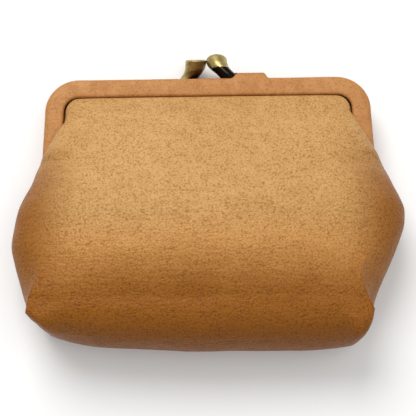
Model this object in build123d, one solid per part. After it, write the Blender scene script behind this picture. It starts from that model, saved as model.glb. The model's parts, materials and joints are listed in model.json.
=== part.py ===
from build123d import *
import math
import os

# Kiss-lock coin purse: two hinged steel frame halves in leather wraps over a soft, boxed-corner leather bag.
# It lies on its back. Millimetres: +X to the purse's right, +Y towards the clasp, +Z up out of its front.
# The origin is on the surface under the middle of the purse.
#
# Every piece is drawn standing, with height along Z and the front towards -Y, and main() lays it down.

# ---- overall size ---------------------------------------------------------------------------------
HINGE_HEIGHT = 60.0       # from the bottom of the bag up to the hinge axis
FRAME_HEIGHT = 24.6       # from the hinge axis up to the band's top edge
FRAME_WIDTH = 100.4       # over the leather, at the top
ARM_SPLAY = 1.0           # how far each arm leans out by the time it reaches the hinge
FRAME_CORNER_RADIUS = 10.5

# ---- one half of the frame ----------------------------------------------------------------------
BAND_HEIGHT = 5.5         # width of the leather band as seen from the front
HALVES_GAP = 0.3          # between the two closed halves
WRAP_THICKNESS = 0.8
STEEL_THICKNESS = 0.7
WRAP_LIP = 0.5            # leather turned over the edges of the steel channel
BAND_ROUNDING = 1.4
BAND_INNER_ROUNDING = 0.4

# ---- soft layers --------------------------------------------------------------------------------
LEATHER = 1.2
LINING = 0.4
LAYER_GAP = 0.05          # between two layers that lie on each other
RIM_LAP = 0.02            # how far a layer's flat rim runs into its rounded part
CORD_DIAMETER = 1.2       # twisted paper cord that wedges the layers in the channel

# ---- bag: each level is how much wider it is than the frame on each side, half width of the flat
#      back, gap under the back, height of the front above the surface, and height of the seam ------
BASE = (-20.2, 22.0, 7.0, 19.0, 12.5)
BASE_ROUNDING = (-7.2, 34.0, 3.0, 24.5, 13.5)
CORNERS = (2.6, 42.0, 0.8, 28.5, 14.5)
LOWER_BELLY = (6.8, 46.0, 0.0, 31.5, 15.5)
BELLY = (10.3, 48.0, 0.0, 33.0, 15.0)
UPPER_BELLY = (6.1, 46.0, 0.0, 30.5, 11.0)
BASE_ROUNDING_HEIGHT = 3.0
CORNER_HEIGHT = 8.5
LOWER_BELLY_HEIGHT = 22.0
BELLY_DROP = 22.0         # below the hinge axis
UPPER_BELLY_DROP = 10.0
SHOULDER_OVERHANG = 1.3   # the bag at the hinge, which its seam meets
SHOULDER_FLAT = 43.5
SHOULDER_FRONT = 27.0
SQUARENESS = 2.4          # of the rounded sections
SIDE_NOTCH_DROP = 4.6     # the bag's edge beside the hinge is this far below the hinge axis
SIDE_NOTCH_WIDTH = 8.2    # from the side of the frame inwards
LIP_SLOPE_WIDTH = 12.0    # over which the edge rises from the notch to the level of the hinge

# ---- upper front panel, which turns with the front half -------------------------------------------
UPPER_BULGE = 11.0        # how far it bellies out at its lower edge
UPPER_OVERLAP = 1.5       # how far its lower edge reaches inside the bag

# ---- seams ----------------------------------------------------------------------------------------
THREAD = 0.5
THREAD_CLEARANCE = 0.05
THREAD_DEPTH = 0.35       # from the outer face of the leather to the thread
CORNER_SEAM_REACH = 6.0   # how far in from the corner's tip the boxed corner's seam reaches

# ---- hinge --------------------------------------------------------------------------------------
EAR_RADIUS = 3.2
EAR_COVER_RADIUS = 4.0    # leather over the outer ear
EAR_GAP = 0.1             # between the two ears of a hinge
RIVET_DIAMETER = 2.0
RIVET_CLEARANCE = 0.05
RIVET_HEAD_DIAMETER = 4.4
RIVET_HEAD_THICKNESS = 0.6
HINGE_MARGIN = 0.3        # between an ear and whatever turns above it

# ---- clasp --------------------------------------------------------------------------------------
KNOB_DIAMETER = 6.1
KNOB_GAP = 0.3            # between the two closed knobs
KNOB_HEIGHT = 7.3         # top of the knob above the band
KNOB_TILT = 22.0          # of the knob's flat end, towards the other half, in degrees
STEM_WIDTH = 5.4
STEM_DEPTH = 4.2
STEM_CLEARANCE = 0.2      # between the stem and the leather around it
STEM_REACH = 6.0          # middle of the stem from the middle of the purse
FOOT_END = 18.0           # far end of the foot from the middle of the purse
FOOT_THICKNESS = 1.9
FOOT_WIDTH = 4.0
FOOT_RIVET_DIAMETER = 1.4
FOOT_RIVET_HEAD_DIAMETER = 2.4
FOOT_RIVET_HEAD_THICKNESS = 0.5
FOOT_RIVET_PITCH = 4.0

# ---- worked out ---------------------------------------------------------------------------------
FRAME_TOP = HINGE_HEIGHT + FRAME_HEIGHT
SLOT_DEPTH = LEATHER + LINING + CORD_DIAMETER + 4 * LAYER_GAP
BAND_DEPTH = SLOT_DEPTH + 2 * (WRAP_THICKNESS + STEEL_THICKNESS)   # front to back, one half
FRONT_Y = -HALVES_GAP / 2 - BAND_DEPTH            # front face of the front band
BACK_Y = -HALVES_GAP / 2                          # its inner face
MIDDLE_Y = (FRONT_Y + BACK_Y) / 2
STEEL_FRONT_Y = FRONT_Y + WRAP_THICKNESS
STEEL_BACK_Y = BACK_Y - WRAP_THICKNESS
SLOT_FRONT_Y = STEEL_FRONT_Y + STEEL_THICKNESS    # the slot that the soft layers go into
SLOT_BACK_Y = STEEL_BACK_Y - STEEL_THICKNESS
WEB_INSET = WRAP_THICKNESS + STEEL_THICKNESS
STEEL_TOP = FRAME_TOP - WRAP_THICKNESS
ARM_END = HINGE_HEIGHT + EAR_COVER_RADIUS + HINGE_MARGIN
EAR_OUTER_X = FRAME_WIDTH / 2 + ARM_SPLAY * (FRAME_TOP - ARM_END) / FRAME_HEIGHT - WRAP_THICKNESS
INNER_EAR_X = EAR_OUTER_X - STEEL_THICKNESS - EAR_GAP
EDGE_INSET = WEB_INSET + FOOT_RIVET_HEAD_THICKNESS + LAYER_GAP  # outermost edge of the layers in the slot
LEATHER_Y = SLOT_FRONT_Y + LAYER_GAP
LINING_Y = LEATHER_Y + LEATHER + LAYER_GAP
CORD_Y = SLOT_BACK_Y - LAYER_GAP - CORD_DIAMETER / 2
CORD_INSET = EDGE_INSET + CORD_DIAMETER / 2
SOFT_END = ARM_END + STEEL_THICKNESS + LAYER_GAP  # the layers in the slot end above the ear's joggle
FOOT_TOP = STEEL_TOP + FOOT_THICKNESS
KNOB_X = (KNOB_DIAMETER + KNOB_GAP) / 2
CUT = 200.0               # side of the blocks used for cutting
REST_Y = -FRONT_Y                                 # the purse's back lies on this plane
UPPER_BOTTOM = HINGE_HEIGHT - UPPER_OVERLAP
SHOULDER = (SHOULDER_OVERHANG, SHOULDER_FLAT, 0.0, SHOULDER_FRONT, REST_Y)
LEVELS = ((0.0, BASE), (BASE_ROUNDING_HEIGHT, BASE_ROUNDING), (CORNER_HEIGHT, CORNERS),
          (LOWER_BELLY_HEIGHT, LOWER_BELLY), (HINGE_HEIGHT - BELLY_DROP, BELLY),
          (HINGE_HEIGHT - UPPER_BELLY_DROP, UPPER_BELLY), (HINGE_HEIGHT, SHOULDER))
LINING_INSET = LEATHER + LAYER_GAP                # from the outside of the leather to the lining
TRAY_INSET = BAND_HEIGHT + 0.3                    # edge of the back panel where it leaves the frame
MIDDLE_HEIGHT = (FRAME_TOP + KNOB_HEIGHT) / 2     # of the whole purse, from the bottom of the bag


def slab(outline, low_y, high_y):
    """The solid that an outline drawn in X and Z fills from low_y to high_y."""
    return extrude(Plane.XZ.offset(-high_y) * outline, high_y - low_y)


def block(low, high):
    """The box between two corners."""
    size = [b - a for a, b in zip(low, high)]
    middle = [(a + b) / 2 for a, b in zip(low, high)]
    return Pos(*middle) * Box(*size)


def arm_x(height, inset):
    """Distance of the frame's outline from the middle, at a height, moved in by inset."""
    slant = math.hypot(FRAME_HEIGHT, ARM_SPLAY) / FRAME_HEIGHT
    return FRAME_WIDTH / 2 + ARM_SPLAY * (FRAME_TOP - height) / FRAME_HEIGHT - inset * slant


def inside_frame(inset, bottom):
    """The face inside the frame's outline moved in by inset, down to a height."""
    top = FRAME_TOP - inset
    low_x, high_x = arm_x(bottom, inset), arm_x(top, inset)
    face = make_face(Polyline((-low_x, bottom), (-high_x, top), (high_x, top), (low_x, bottom), close=True))
    radius = max(FRAME_CORNER_RADIUS - inset, BAND_INNER_ROUNDING)
    return fillet(face.vertices().group_by(Axis.Y)[-1], radius)


def band(outer_inset, inner_inset, low_y, high_y, bottom):
    """An arch that follows the frame, between two insets."""
    inner = inside_frame(inner_inset, bottom - 1)
    return slab(inside_frame(outer_inset, bottom) - inner, low_y, high_y)


# ---- the steel channel, its ears and its leather --------------------------------------------------
def ear_outline(radius, low_y, high_y):
    """An ear seen along X: a disc about the hinge, and a neck up to the arm above it."""
    tip = Pos(0, HINGE_HEIGHT) * Circle(radius)
    side = radius * math.cos(math.radians(30))
    rise = HINGE_HEIGHT + radius / 2
    top = ARM_END + LAYER_GAP
    neck = make_face(Polyline((low_y, top), (high_y, top), (high_y, ARM_END - HINGE_MARGIN),
                              (side, rise), (-side, HINGE_HEIGHT - radius / 2), (low_y, rise), close=True))
    return tip + neck


def plate(outline, low_x, high_x):
    """The solid that an outline drawn in Y and Z fills from low_x to high_x."""
    return extrude(Plane.YZ.offset(low_x) * outline, high_x - low_x)


def hinge_hole(low_x, high_x):
    radius = RIVET_DIAMETER / 2 + RIVET_CLEARANCE
    return plate(Pos(0, HINGE_HEIGHT) * Circle(radius), low_x, high_x)


def foot_rivet_places():
    last = FOOT_END - FOOT_RIVET_HEAD_DIAMETER / 2 - 1
    return [last - FOOT_RIVET_PITCH, last]


def make_steel():
    channel = band(WRAP_THICKNESS, BAND_HEIGHT - WRAP_LIP, STEEL_FRONT_Y, STEEL_BACK_Y, ARM_END)
    channel -= band(WEB_INSET, BAND_HEIGHT, SLOT_FRONT_Y, SLOT_BACK_Y, ARM_END - 1)
    ear = ear_outline(EAR_RADIUS, STEEL_FRONT_Y, STEEL_BACK_Y)
    outer_ear = plate(ear, EAR_OUTER_X - STEEL_THICKNESS, EAR_OUTER_X)
    inner_ear = plate(ear, -INNER_EAR_X, -INNER_EAR_X + STEEL_THICKNESS)
    joggle = block((-EAR_OUTER_X, STEEL_FRONT_Y, ARM_END),
                   (-INNER_EAR_X + STEEL_THICKNESS, STEEL_BACK_Y, ARM_END + STEEL_THICKNESS))
    steel = channel + outer_ear + inner_ear + joggle
    steel -= hinge_hole(-CUT / 2, CUT / 2)
    for x in foot_rivet_places():
        hole = Cylinder(FOOT_RIVET_DIAMETER / 2 + RIVET_CLEARANCE, 4 * STEEL_THICKNESS)
        steel -= Pos(x, MIDDLE_Y, STEEL_TOP) * hole
    return steel


def make_wrap():
    body = band(0, BAND_HEIGHT, FRONT_Y, BACK_Y, ARM_END)
    body = fillet(body.edges().filter_by_position(Axis.Y, FRONT_Y - 0.01, FRONT_Y + 0.01), BAND_ROUNDING)
    rear_outline = [e for e in body.edges().filter_by_position(Axis.Y, BACK_Y - 0.01, BACK_Y + 0.01)
                    if e.center().Z > ARM_END + 0.01]
    body = fillet(rear_outline, BAND_INNER_ROUNDING)
    cover_start = STEM_REACH + STEM_WIDTH / 2
    cover = block((cover_start, FRONT_Y, STEEL_TOP),
                  (FOOT_END + WRAP_THICKNESS, BACK_Y, FOOT_TOP + WRAP_THICKNESS))
    body += fillet(cover.edges().group_by(Axis.Z)[-1], WRAP_THICKNESS)
    body -= band(WRAP_THICKNESS, BAND_HEIGHT - WRAP_LIP, STEEL_FRONT_Y, STEEL_BACK_Y, ARM_END - 1)
    body -= band(WRAP_THICKNESS, BAND_HEIGHT + 1, SLOT_FRONT_Y, SLOT_BACK_Y, ARM_END - 1)
    body -= foot_block()
    stem_hole = extrude(Pos(STEM_REACH, MIDDLE_Y, STEEL_TOP)
                        * Ellipse(STEM_WIDTH / 2 + STEM_CLEARANCE, STEM_DEPTH / 2 + STEM_CLEARANCE),
                        FOOT_THICKNESS + 2)
    body -= stem_hole
    cover_outline = ear_outline(EAR_COVER_RADIUS, STEEL_FRONT_Y, STEEL_BACK_Y)
    body += plate(cover_outline, EAR_OUTER_X, EAR_OUTER_X + WRAP_THICKNESS)
    return body


# ---- the clasp -----------------------------------------------------------------------------------
def foot_block():
    return block((STEM_REACH, MIDDLE_Y - FOOT_WIDTH / 2, STEEL_TOP),
                 (FOOT_END, MIDDLE_Y + FOOT_WIDTH / 2, FOOT_TOP))


def make_finger():
    """A thumb-like stem that widens into a knob with a flat, tilted end, on a foot under the leather."""
    tilt = math.radians(KNOB_TILT)
    knob_radius = KNOB_DIAMETER / 2
    end_height = FRAME_TOP + KNOB_HEIGHT - knob_radius * math.sin(tilt)
    end_y = 0.3
    sections = []
    for share, width, depth in ((0.0, STEM_WIDTH, STEM_DEPTH), (0.3, STEM_WIDTH, STEM_DEPTH + 0.2),
                                (0.7, KNOB_DIAMETER - 0.1, KNOB_DIAMETER - 0.6), (1.0, KNOB_DIAMETER, KNOB_DIAMETER)):
        lean = share * share * (3 - 2 * share)
        place = (STEM_REACH + (KNOB_X - STEM_REACH) * lean, MIDDLE_Y + (end_y - MIDDLE_Y) * lean,
                 STEEL_TOP + (end_height - STEEL_TOP) * share)
        normal = (0, math.sin(tilt * share), math.cos(tilt * share))
        sections.append(Plane(origin=place, x_dir=(1, 0, 0), z_dir=normal) * Ellipse(width / 2, depth / 2))
    finger = loft(sections)
    finger = fillet(finger.edges().sort_by(Axis.Z)[-1:], 0.5)
    foot = foot_block()
    for x in foot_rivet_places():
        foot -= Pos(x, MIDDLE_Y, FOOT_TOP) * Cylinder(FOOT_RIVET_DIAMETER / 2 + RIVET_CLEARANCE, 4 * FOOT_THICKNESS)
    return finger + foot


def make_foot_rivets():
    """Two flush rivets from the foot down through the frame, headed inside the channel."""
    web_bottom = STEEL_TOP - STEEL_THICKNESS
    rivets = []
    for x in foot_rivet_places():
        shank = extrude(Pos(x, MIDDLE_Y, web_bottom) * Circle(FOOT_RIVET_DIAMETER / 2), FOOT_TOP - web_bottom)
        head = extrude(Pos(x, MIDDLE_Y, web_bottom) * Circle(FOOT_RIVET_HEAD_DIAMETER / 2), -FOOT_RIVET_HEAD_THICKNESS)
        rivets.append(shank + head)
    return Compound(children=rivets)


# ---- soft layers in the frame ----------------------------------------------------------------------
def upper_front_layer(front_y, thickness):
    """A front layer's part inside the frame: a flat rim in the slot, and a belly that grows downwards."""
    rim = band(EDGE_INSET, BAND_HEIGHT + RIM_LAP, front_y, front_y + thickness, SOFT_END)
    half = arm_x(UPPER_BOTTOM, BAND_HEIGHT) - LAYER_GAP
    top = FRAME_TOP - BAND_HEIGHT
    sections = []
    for height in (top, (top + UPPER_BOTTOM) / 2, UPPER_BOTTOM):
        bulge = UPPER_BULGE * math.sin(math.pi / 2 * (top - height) / (top - UPPER_BOTTOM)) + RIM_LAP
        outer = ThreePointArc((-half, front_y), (0, front_y - bulge), (half, front_y))
        inner = ThreePointArc((half, front_y + thickness), (0, front_y + thickness - bulge),
                              (-half, front_y + thickness))
        ends = [Line(outer @ 1, inner @ 0), Line(inner @ 1, outer @ 0)]
        sections.append(Pos(0, 0, height) * make_face([outer, ends[0], inner, ends[1]]))
    belly = loft(sections)
    belly &= slab(inside_frame(BAND_HEIGHT, UPPER_BOTTOM - 1), -CUT / 2, CUT / 2)
    return rim + belly


def upper_back_layer(slot_y, thickness, inset, back_y):
    """A back layer's part inside the frame: a rim in the slot, stepped back to lie flat on the surface."""
    rim = band(EDGE_INSET, inset + thickness, slot_y - thickness, slot_y, SOFT_END)
    step = band(inset, inset + thickness, slot_y - thickness, back_y, SOFT_END)
    flat = slab(inside_frame(inset, UPPER_BOTTOM), back_y - thickness, back_y)
    return rim + step + flat


def make_cord():
    """The paper cord, which follows the frame inside its slot."""
    corner = FRAME_CORNER_RADIUS - CORD_INSET
    top = FRAME_TOP - CORD_INSET
    low_x, high_x = arm_x(SOFT_END, CORD_INSET), arm_x(top, CORD_INSET)
    points = [(-low_x, CORD_Y, SOFT_END), (-high_x, CORD_Y, top), (high_x, CORD_Y, top), (low_x, CORD_Y, SOFT_END)]
    path = FilletPolyline(*points, radius=corner)
    start = Plane(origin=path @ 0, z_dir=path % 0)
    return sweep(start * Circle(CORD_DIAMETER / 2), path=path)


# ---- the bag ---------------------------------------------------------------------------------------
def bag_half_section(height, level, inset):
    """The right half of the bag's outline at one level, moved in by inset: flat back, rounded side, domed front."""
    overhang, flat, back_gap, front, seam = level
    back_y = REST_Y - back_gap - inset
    front_y = REST_Y - front + inset
    seam_y = REST_Y - seam
    half_width = FRAME_WIDTH / 2 + overhang - inset
    share = 2 ** (-1 / SQUARENESS)
    back_side = (flat + (half_width - flat) * share, seam_y + (back_y - seam_y) * share)
    front_side = (half_width * share, seam_y + (front_y - seam_y) * share)
    back = Line((0, back_y), (flat, back_y))
    right = Spline((flat, back_y), back_side, (half_width, seam_y), tangents=((1, 0), (0, -1)))
    dome = Spline((half_width, seam_y), front_side, (0, front_y), tangents=((0, -1), (-1, 0)))
    middle = Line((0, front_y), (0, back_y))
    return Pos(0, 0, max(height, inset)) * make_face([back, right, dome, middle])


def bag_solid(inset):
    """The bag's outer form made smaller by inset, cut off at the hinge."""
    half = loft([bag_half_section(height, level, inset) for height, level in LEVELS])
    half &= block((0, -CUT, -1), (CUT, REST_Y - inset, HINGE_HEIGHT))
    return half + mirror(half, about=Plane.YZ)


def bag_layer(outer_inset, inner_inset):
    """One layer of the bag, with an edge that dips beside the hinges."""
    notch = HINGE_HEIGHT - SIDE_NOTCH_DROP
    notch_x = FRAME_WIDTH / 2 - SIDE_NOTCH_WIDTH
    level_x = notch_x - LIP_SLOPE_WIDTH
    edge = make_face(Polyline((-CUT, -1), (CUT, -1), (CUT, notch), (notch_x, notch), (level_x, HINGE_HEIGHT),
                              (-level_x, HINGE_HEIGHT), (-notch_x, notch), (-CUT, notch), close=True))
    return (bag_solid(outer_inset) - bag_solid(inner_inset)) & slab(edge, -CUT, CUT)


def seam_line():
    """The seam between front and back, seen from the side."""
    points = [(REST_Y - level[-1], height) for height, level in LEVELS]
    return [(points[0][0], -1)] + points + [(points[-1][0], HINGE_HEIGHT + 1)]


def behind_seam():
    """Everything on the back's side of the seam."""
    line = seam_line()
    return plate(make_face(Polyline(*line, (CUT, HINGE_HEIGHT + 1), (CUT, -1), close=True)), -CUT / 2, CUT / 2)


def along_seam(width):
    """A thin curtain that follows the seam."""
    return plate(trace(Polyline(*seam_line()), width), -CUT / 2, CUT / 2)


def seam_threads(clearance):
    """The threads of the side, bottom and boxed-corner seams, grown by a clearance."""
    ring = bag_solid(THREAD_DEPTH - clearance) - bag_solid(THREAD_DEPTH + THREAD + clearance)
    around = ring & along_seam(THREAD + 2 * clearance)
    top = HINGE_HEIGHT - SIDE_NOTCH_DROP - THREAD
    crossing = THREAD - clearance
    level = THREAD / 2 + clearance
    bottom = block((-CUT, -CUT, -1), (CUT, CUT, CORNER_HEIGHT - crossing))
    side = block((0, -CUT, CORNER_HEIGHT + crossing), (CUT, CUT, top + clearance))
    corner_x = FRAME_WIDTH / 2 + CORNERS[0] - CORNER_SEAM_REACH
    corner = block((corner_x, -CUT, CORNER_HEIGHT - level), (CUT, CUT, CORNER_HEIGHT + level))
    right = {"side_seam_thread": around & side, "corner_seam_thread": ring & corner}
    threads = {"bottom_seam_thread": around & bottom}
    for name, shape in right.items():
        threads[name + "_right"] = shape
        threads[name + "_left"] = mirror(shape, about=Plane.YZ)
    return threads


def make_hinge_rivet(side):
    """Shank through both ears, flush outside, with a head inside."""
    inner_face = INNER_EAR_X - STEEL_THICKNESS
    shank = plate(Pos(0, HINGE_HEIGHT) * Circle(RIVET_DIAMETER / 2), inner_face - EAR_GAP, EAR_OUTER_X)
    head = plate(Pos(0, HINGE_HEIGHT) * Circle(RIVET_HEAD_DIAMETER / 2),
                 inner_face - EAR_GAP - RIVET_HEAD_THICKNESS, inner_face - EAR_GAP)
    rivet = shank + head
    return rivet if side > 0 else mirror(rivet, about=Plane.YZ)


def make_bag():
    """The front and back of the leather and the lining, and the threads that close them."""
    back_side = behind_seam()
    threads = seam_threads(0)
    leather = bag_layer(0, LEATHER)
    for channel in seam_threads(THREAD_CLEARANCE).values():
        leather -= channel
    lining = bag_layer(LINING_INSET, LINING_INSET + LINING)
    back_leather = upper_back_layer(-LEATHER_Y, LEATHER, TRAY_INSET, REST_Y)
    back_lining = upper_back_layer(-LINING_Y, LINING, TRAY_INSET + LINING_INSET, REST_Y - LINING_INSET)
    return {"front_panel_lower": leather - back_side, "front_lining_lower": lining - back_side,
            "back_panel": (leather & back_side) + back_leather, "back_lining": (lining & back_side) + back_lining,
            **threads}


def main():
    os.makedirs("parts", exist_ok=True)
    half = {"frame": make_steel(), "frame_wrap": make_wrap(), "clasp_finger": make_finger(),
            "clasp_rivets": make_foot_rivets(), "paper_cord": make_cord()}
    nodes = {}
    for name, shape in half.items():
        nodes["front_" + name] = shape
        nodes["back_" + name] = Rot(0, 0, 180) * shape
    nodes["front_panel_upper"] = upper_front_layer(LEATHER_Y, LEATHER)
    nodes["front_lining_upper"] = upper_front_layer(LINING_Y, LINING)
    nodes.update(make_bag())
    nodes["hinge_rivet_left"] = make_hinge_rivet(-1)
    nodes["hinge_rivet_right"] = make_hinge_rivet(1)
    lay_down = Pos(0, -MIDDLE_HEIGHT, REST_Y) * Rot(-90, 0, 0)
    for name, shape in nodes.items():
        export_step(lay_down * shape, f"parts/{name}.step")


main()
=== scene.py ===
"""Looks of the kiss-lock coin purse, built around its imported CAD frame.

The part's own frame, in metres: +X to the purse's right, +Y towards the clasp, +Z up out of its front.
Shapes are worked out in millimetres as (x, height, z), with height counted from the bottom of the bag
towards the clasp.
"""
import json
import math

import bmesh
import bpy
import numpy as np
from mathutils import Matrix, Vector, noise


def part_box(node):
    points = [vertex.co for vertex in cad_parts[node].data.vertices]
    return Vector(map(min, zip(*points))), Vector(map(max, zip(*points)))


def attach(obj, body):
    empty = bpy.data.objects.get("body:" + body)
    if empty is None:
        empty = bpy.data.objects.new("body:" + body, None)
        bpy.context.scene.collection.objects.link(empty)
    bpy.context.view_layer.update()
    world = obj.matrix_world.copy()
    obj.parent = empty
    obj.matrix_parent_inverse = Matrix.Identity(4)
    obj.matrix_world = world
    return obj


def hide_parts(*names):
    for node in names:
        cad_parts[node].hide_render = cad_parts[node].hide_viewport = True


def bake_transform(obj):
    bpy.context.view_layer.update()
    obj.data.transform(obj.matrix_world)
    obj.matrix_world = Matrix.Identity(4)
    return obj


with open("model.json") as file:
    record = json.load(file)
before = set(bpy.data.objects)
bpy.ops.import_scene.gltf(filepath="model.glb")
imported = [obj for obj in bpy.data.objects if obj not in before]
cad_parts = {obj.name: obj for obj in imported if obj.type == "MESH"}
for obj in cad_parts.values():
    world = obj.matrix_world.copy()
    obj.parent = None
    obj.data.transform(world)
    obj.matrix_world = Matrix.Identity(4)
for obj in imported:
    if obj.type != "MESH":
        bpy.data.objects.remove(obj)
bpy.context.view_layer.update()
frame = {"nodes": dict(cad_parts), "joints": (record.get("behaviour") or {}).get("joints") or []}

MM = 0.001
SEED = 7                   # where the noise is sampled

# ---- places taken from the frame, in millimetres -------------------------------------------------
BAG_BOTTOM_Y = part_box("back_panel")[0].y / MM
HINGE_Y = frame["joints"][0]["pos_m"][1] / MM
HINGE_Z = frame["joints"][0]["pos_m"][2] / MM
HINGE_HEIGHT = HINGE_Y - BAG_BOTTOM_Y
WRAP = 0.8                 # leather round the steel channel
BAND_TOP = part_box("front_frame")[1].y / MM - BAG_BOTTOM_Y + WRAP
BAND_FRONT_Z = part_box("front_frame")[1].z / MM + WRAP
HALF_FRAME = 50.2          # half the frame's width at the top, over the leather
ARM_SPLAY = 1.0            # how much further out the arms stand at the hinge
BAND_WIDTH = 6.0
BAND_CORNER = 10.5         # outer radius
HALVES_GAP = 0.3
BAND_DEPTH = BAND_FRONT_Z - HINGE_Z - HALVES_GAP / 2
SLOT_Z = HINGE_Z + HALVES_GAP / 2 + BAND_DEPTH / 2    # middle of the front half's slot
SLOT_BACK_Z = 2 * HINGE_Z - SLOT_Z


# ---- small helpers -------------------------------------------------------------------------------
def curve(points, at):
    """A smooth curve through (position, value) pairs, without overshoot (monotone cubic)."""
    xs = np.array([p[0] for p in points], float)
    ys = np.array([p[1] for p in points], float)
    step = np.diff(xs)
    slope = np.diff(ys) / step
    tangent = np.zeros(len(xs))
    tangent[0], tangent[-1] = slope[0], slope[-1]
    for i in range(1, len(xs) - 1):
        if slope[i - 1] * slope[i] > 0:
            a = 2 * step[i] + step[i - 1]
            b = step[i] + 2 * step[i - 1]
            tangent[i] = (a + b) / (a / slope[i - 1] + b / slope[i])
    at = np.clip(np.asarray(at, float), xs[0], xs[-1])
    i = np.clip(np.searchsorted(xs, at) - 1, 0, len(xs) - 2)
    t = (at - xs[i]) / step[i]
    return ((2 * t ** 3 - 3 * t ** 2 + 1) * ys[i] + (t ** 3 - 2 * t ** 2 + t) * step[i] * tangent[i]
            + (3 * t ** 2 - 2 * t ** 3) * ys[i + 1] + (t ** 3 - t ** 2) * step[i] * tangent[i + 1])


def smooth(low, high, at):
    """0 at low, 1 at high, and eased in between; low may be the larger."""
    t = np.clip((np.asarray(at, float) - low) / (high - low), 0, 1)
    return t * t * (3 - 2 * t)


def grid_faces(rows, columns, start=0, flip=False, wrap=False):
    """Quads over a grid of vertices numbered row by row."""
    faces = []
    last = columns if wrap else columns - 1
    for r in range(rows - 1):
        for c in range(last):
            n = (c + 1) % columns
            quad = (start + r * columns + c, start + r * columns + n,
                    start + (r + 1) * columns + n, start + (r + 1) * columns + c)
            faces.append(quad[::-1] if flip else quad)
    return faces


def make_piece(name, points, faces, material):
    """A mesh object from (x, height, z) points in millimetres."""
    points = np.asarray(points, float)
    mesh = bpy.data.meshes.new(name)
    placed = np.column_stack([points[:, 0], points[:, 1] + BAG_BOTTOM_Y, points[:, 2]]) * MM
    mesh.from_pydata(placed.tolist(), [], faces)
    mesh.validate()
    mesh.update()
    piece = bpy.data.objects.new(name, mesh)
    bpy.context.scene.collection.objects.link(piece)
    mesh.materials.append(material)
    mesh.polygons.foreach_set("use_smooth", [True] * len(mesh.polygons))
    return piece


def weld(piece, distance):
    """Joins vertices that lie on each other."""
    bm = bmesh.new()
    bm.from_mesh(piece.data)
    bmesh.ops.remove_doubles(bm, verts=bm.verts, dist=distance)
    bm.to_mesh(piece.data)
    bm.free()


def apply_modifiers(piece):
    """Bakes a piece's modifiers into its mesh."""
    graph = bpy.context.evaluated_depsgraph_get()
    mesh = bpy.data.meshes.new_from_object(piece.evaluated_get(graph))
    piece.modifiers.clear()
    piece.data = mesh


# ---- leather body: its curves, from the bottom of the bag (0) to the band ------------------------
# sides and folds are (height, half width), bottoms are (half width, height), and rises are (height, z)
LEFT_SIDE = [(9.3, 53.1), (11.2, 53.5), (14.7, 54.9), (20, 56.5), (25.5, 58.0), (31, 59.1), (36.5, 58.5),
             (42.3, 57.5), (46.3, 56.1), (50.4, 54.3), (54.8, 53.1), (57.5, 51.7), (61.7, 49.4), (68.7, 45.4),
             (70.5, 44.1), (73, 44.0), (78.4, 43.95)]
RIGHT_SIDE = [(9.3, 47.0), (11.5, 47.6), (15, 49.0), (20.3, 51.5), (25.7, 54.1), (31.2, 56.5), (36.7, 58.4),
              (40.6, 58.7), (44.6, 57.7), (48.7, 56.2), (53, 54.8), (57.2, 52.9), (60.4, 50.9), (65.1, 48.5),
              (71.6, 44.8), (73, 44.1), (75, 44.0), (78.4, 43.95)]
LEFT_FOLD = [(9.3, 52.6), (14, 52.3), (17, 51.6), (24, 48.6), (36, 48)]
RIGHT_FOLD = [(9.3, 45.6), (14, 44.7), (21, 42.9), (30, 43.5), (36, 46)]
LEFT_BOTTOM = [(0, -0.5), (21, 0.2), (33.3, 0.9), (41.2, 2.3), (47.5, 4.8), (51.0, 7.8), (53.1, 9.3)]
RIGHT_BOTTOM = [(0, -0.5), (24.2, -0.7), (34.2, -0.2), (41, 0.8), (43.7, 2.2), (45.6, 5.0), (46.6, 7.2),
                (47.0, 9.3)]
FRONT_RISE = [(9.3, 26.6), (14, 28.4), (22, 31.0), (30, 32.3), (40, 32.2), (50, 29.6), (60, 25.4), (65, 22.8),
              (70, 19.2), (74, 16.2), (76.4, 14.1), (77.8, 12.9), (78.25, 12.1), (78.4, 11.5)]
SEAM_RISE = [(9.3, 14.5), (22, 15.5), (38, 14.5), (50, 10.8), (55, 8.6), (57, 9.4), (58, 10.7), (59.5, 12.3),
             (61, 12.5), (70, 12.5), (72.5, 11.3), (78.4, 11.2)]
SECTION_POWER = [(9.3, 2.6), (22, 2.5), (38, 2.3), (60, 2.3), (70, 2.5), (78.4, 3.2)]
BOTTOM_START = 14.0        # height where the bag begins to turn under
CORNER_TIP = 9.3           # height of the boxed corners
FOLD_FADE = 34.0           # height at which the corner's fold has died away
FRONT_TOP = 78.4           # height where the leather goes into the band
LEATHER = 1.2
LINING_OFFSET = 1.35       # from the leather's outside to the lining's
LINING = 0.4
LINING_SLACK = 0.8         # the cloth hangs this much looser where the front folds
BACK_LEFT_SIDE = LEFT_SIDE[:11] + [(57.5, 51.5), (60, 49.2), (64, 44.6), (78.4, 43.6)]
BACK_RIGHT_SIDE = RIGHT_SIDE[:11] + [(57.2, 52.3), (60, 49.3), (64, 44.6), (78.4, 43.6)]
BACK_SEAM_RISE = SEAM_RISE[:6] + [(58.5, 5.0), (61, 2.9), (78.4, 2.9)]
BACK_TOP_RISE = [(9.3, 1.4), (14, 0.4), (22, 0.1), (74, 0.1), (77.2, 0.5), (78.4, 2.4)]
VALLEY_DEPTH = 0.45        # how far a turned seam pulls in
VALLEY_REACH = 0.8
PUCKER = 0.10              # extra pull at each stitch
STITCH_PITCH = 2.6
SEAM_TURNS = (0.5, 2.0)    # how far in a turned seam's two hidden rows lie
BOTTOM_TURNS = (0.6, 2.2)
CORNER_PULL = 0.3          # how far the boxed corner's seam pulls in
SLOT_PADDING = 0.15        # between the band and the leather that goes into it
BACK_POWER = 4.2           # the back lies flatter than the front, and its outline is squarer
BACK_FOLD = 0.90           # the fold's share of the back's half width
FRONT_FOLD = 0.86          # the same in the front, where the fold has died away
BOX_RISE = 0.86            # the fold's share of the front's rise at the boxed corners
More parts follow.
